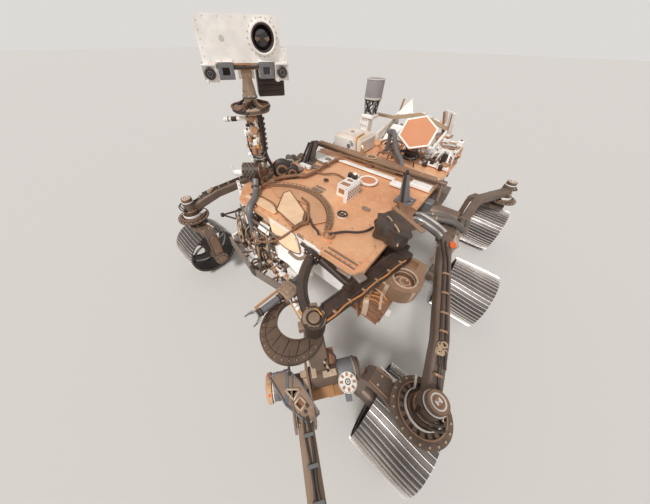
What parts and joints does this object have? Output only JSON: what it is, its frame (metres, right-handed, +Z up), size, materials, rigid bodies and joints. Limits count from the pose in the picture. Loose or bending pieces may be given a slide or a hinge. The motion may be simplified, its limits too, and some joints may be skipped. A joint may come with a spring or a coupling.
{
  "type": "planetary rover",
  "caption": "Six-wheeled planetary rover with rocker suspension, steered corner wheels, camera mast, five-joint arm with tool turret and pointing antenna.",
  "frame": {"origin": "centre of the footprint on the ground, below the middle of the rover with its arm out", "axes": "+X to the rover's left, -Y forward, +Z up"},
  "size_m": [2.73, 3.618, 2.078],
  "materials": {
    "white_paint": "white thermal paint with dust",
    "deck_coat": "satin deck coating under fine dust",
    "grey_tube": "grey anodised tube with dust",
    "dark_metal": "dark anodised metal",
    "tan_metal": "tan chromated metal",
    "wheel_aluminium": "machined aluminium with worn bars",
    "spoke_titanium": "bare titanium",
    "black_blanket": "crinkled black blanket",
    "fin_metal": "pale fin coating",
    "cable_black": "black cable jacket with dust",
    "antenna_face": "matt antenna face"
  },
  "bodies": {
    "chassis": {"chassis": "white_paint", "deck": "deck_coat", "deck_rail": "tan_metal", "front_bay": "white_paint", "front_band": "grey_tube", "bit_carousel": "tan_metal", "wrapped_box": "black_blanket", "deck_instruments": "white_paint", "differential_bar": "grey_tube", "differential_links": "grey_tube", "rocker_left": "grey_tube", "rocker_right": "grey_tube", "bogie_left": "grey_tube", "bogie_right": "grey_tube", "steering_actuators": "tan_metal", "middle_drives": "tan_metal", "mast_column": "tan_metal", "arm_carrier": "dark_metal", "power_source": "fin_metal", "heat_panels": "white_paint", "relay_antenna": "grey_tube", "service_box": "white_paint", "rear_frame": "white_paint", "sample_bay": "tan_metal", "deck_brackets": "grey_tube", "mast_hinge": "dark_metal", "mast_booms": "white_paint", "restraint_post": "dark_metal", "rocker_cables": "cable_black", "front_pipe": "grey_tube", "antenna_post": "white_paint"},
    "mast_pan": {"mast_neck": "tan_metal"},
    "mast_head": {"camera_head": "white_paint", "camera_bar": "white_paint"},
    "arm_shoulder": {"shoulder_yoke": "tan_metal"},
    "arm_upper": {"upper_arm": "white_paint"},
    "arm_fore": {"forearm": "white_paint"},
    "arm_wrist": {"wrist_link": "grey_tube"},
    "arm_turret": {"turret_drum": "grey_tube", "turret_drill": "grey_tube", "turret_analyser": "white_paint", "turret_viewer": "white_paint"},
    "antenna_turn": {"antenna_yoke": "white_paint"},
    "antenna_dish": {"antenna_plate": "antenna_face"},
    "steer_front_left": {"knuckle_front_left": "grey_tube"},
    "steer_front_right": {"knuckle_front_right": "grey_tube"},
    "steer_rear_left": {"knuckle_rear_left": "grey_tube"},
    "steer_rear_right": {"knuckle_rear_right": "grey_tube"},
    "wheel_front_left": {"tyre_front_left": "wheel_aluminium", "spokes_front_left": "spoke_titanium"},
    "wheel_front_right": {"tyre_front_right": "wheel_aluminium", "spokes_front_right": "spoke_titanium"},
    "wheel_middle_left": {"tyre_middle_left": "wheel_aluminium", "spokes_middle_left": "spoke_titanium"},
    "wheel_middle_right": {"tyre_middle_right": "wheel_aluminium", "spokes_middle_right": "spoke_titanium"},
    "wheel_rear_left": {"tyre_rear_left": "wheel_aluminium", "spokes_rear_left": "spoke_titanium"},
    "wheel_rear_right": {"tyre_rear_right": "wheel_aluminium", "spokes_rear_right": "spoke_titanium"}
  },
  "joints": [
    {"name": "steer_front_left", "type": "hinge", "parent": "chassis", "child": "steer_front_left", "pos_m": [1.13, -0.929, 0.62], "axis": [0, 0, 1], "range_deg": [-90, 90]},
    {"name": "steer_front_right", "type": "hinge", "parent": "chassis", "child": "steer_front_right", "pos_m": [-1.13, -0.929, 0.62], "axis": [0, 0, 1], "range_deg": [-90, 90]},
    {"name": "steer_rear_left", "type": "hinge", "parent": "chassis", "child": "steer_rear_left", "pos_m": [1.13, 1.546, 0.62], "axis": [0, 0, 1], "range_deg": [-90, 90]},
    {"name": "steer_rear_right", "type": "hinge", "parent": "chassis", "child": "steer_rear_right", "pos_m": [-1.13, 1.546, 0.62], "axis": [0, 0, 1], "range_deg": [-90, 90]},
    {"name": "spin_front_left", "type": "hinge", "parent": "steer_front_left", "child": "wheel_front_left", "pos_m": [1.13, -0.929, 0.2625], "axis": [1, 0, 0], "continuous": true},
    {"name": "spin_front_right", "type": "hinge", "parent": "steer_front_right", "child": "wheel_front_right", "pos_m": [-1.13, -0.929, 0.2625], "axis": [1, 0, 0], "continuous": true},
    {"name": "spin_middle_left", "type": "hinge", "parent": "chassis", "child": "wheel_middle_left", "pos_m": [1.195, 0.346, 0.2625], "axis": [1, 0, 0], "continuous": true},
    {"name": "spin_middle_right", "type": "hinge", "parent": "chassis", "child": "wheel_middle_right", "pos_m": [-1.195, 0.346, 0.2625], "axis": [1, 0, 0], "continuous": true},
    {"name": "spin_rear_left", "type": "hinge", "parent": "steer_rear_left", "child": "wheel_rear_left", "pos_m": [1.13, 1.546, 0.2625], "axis": [1, 0, 0], "continuous": true},
    {"name": "spin_rear_right", "type": "hinge", "parent": "steer_rear_right", "child": "wheel_rear_right", "pos_m": [-1.13, 1.546, 0.2625], "axis": [1, 0, 0], "continuous": true},
    {"name": "mast_pan", "type": "hinge", "parent": "chassis", "child": "mast_pan", "pos_m": [-0.6, -0.414, 1.6015], "axis": [0, 0, 1], "range_deg": [-230, 115]},
    {"name": "mast_tilt", "type": "hinge", "parent": "mast_pan", "child": "mast_head", "pos_m": [-0.6, -0.414, 1.815], "axis": [0.5299, 0.848, 0], "range_deg": [-80, 80]},
    {"name": "arm_azimuth", "type": "hinge", "parent": "chassis", "child": "arm_shoulder", "pos_m": [0.53, -1.032, 0.85], "axis": [0, 0, 1], "range_deg": [-95, 15]},
    {"name": "arm_lift", "type": "hinge", "parent": "arm_shoulder", "child": "arm_upper", "pos_m": [0.611, -1.236, 0.7], "axis": [-0.6, -0.8, 0], "range_deg": [-15, 60]},
    {"name": "arm_elbow", "type": "hinge", "parent": "arm_upper", "child": "arm_fore", "pos_m": [1.16555, -1.65191, 0.79742], "axis": [0.6, 0.8, 0], "range_deg": [-50, 80]},
    {"name": "arm_wrist", "type": "hinge", "parent": "arm_fore", "child": "arm_wrist", "pos_m": [1.14768, -1.63851, 1.43703], "axis": [0.6, 0.8, 0], "range_deg": [-60, 90]},
    {"name": "turret_turn", "type": "hinge", "parent": "arm_wrist", "child": "arm_turret", "pos_m": [1.09574, -1.59956, 1.5144], "axis": [-0.5142, 0.3857, 0.766], "range_deg": [-175, 175]},
    {"name": "antenna_azimuth", "type": "hinge", "parent": "chassis", "child": "antenna_turn", "pos_m": [0.201, 0.85, 1.2125], "axis": [0, 0, 1], "range_deg": [-175, 175]},
    {"name": "antenna_elevation", "type": "hinge", "parent": "antenna_turn", "child": "antenna_dish", "pos_m": [0.23899, 0.71539, 1.33887], "axis": [0.9631, 0.269, 0], "range_deg": [-40, 40]}
  ]
}
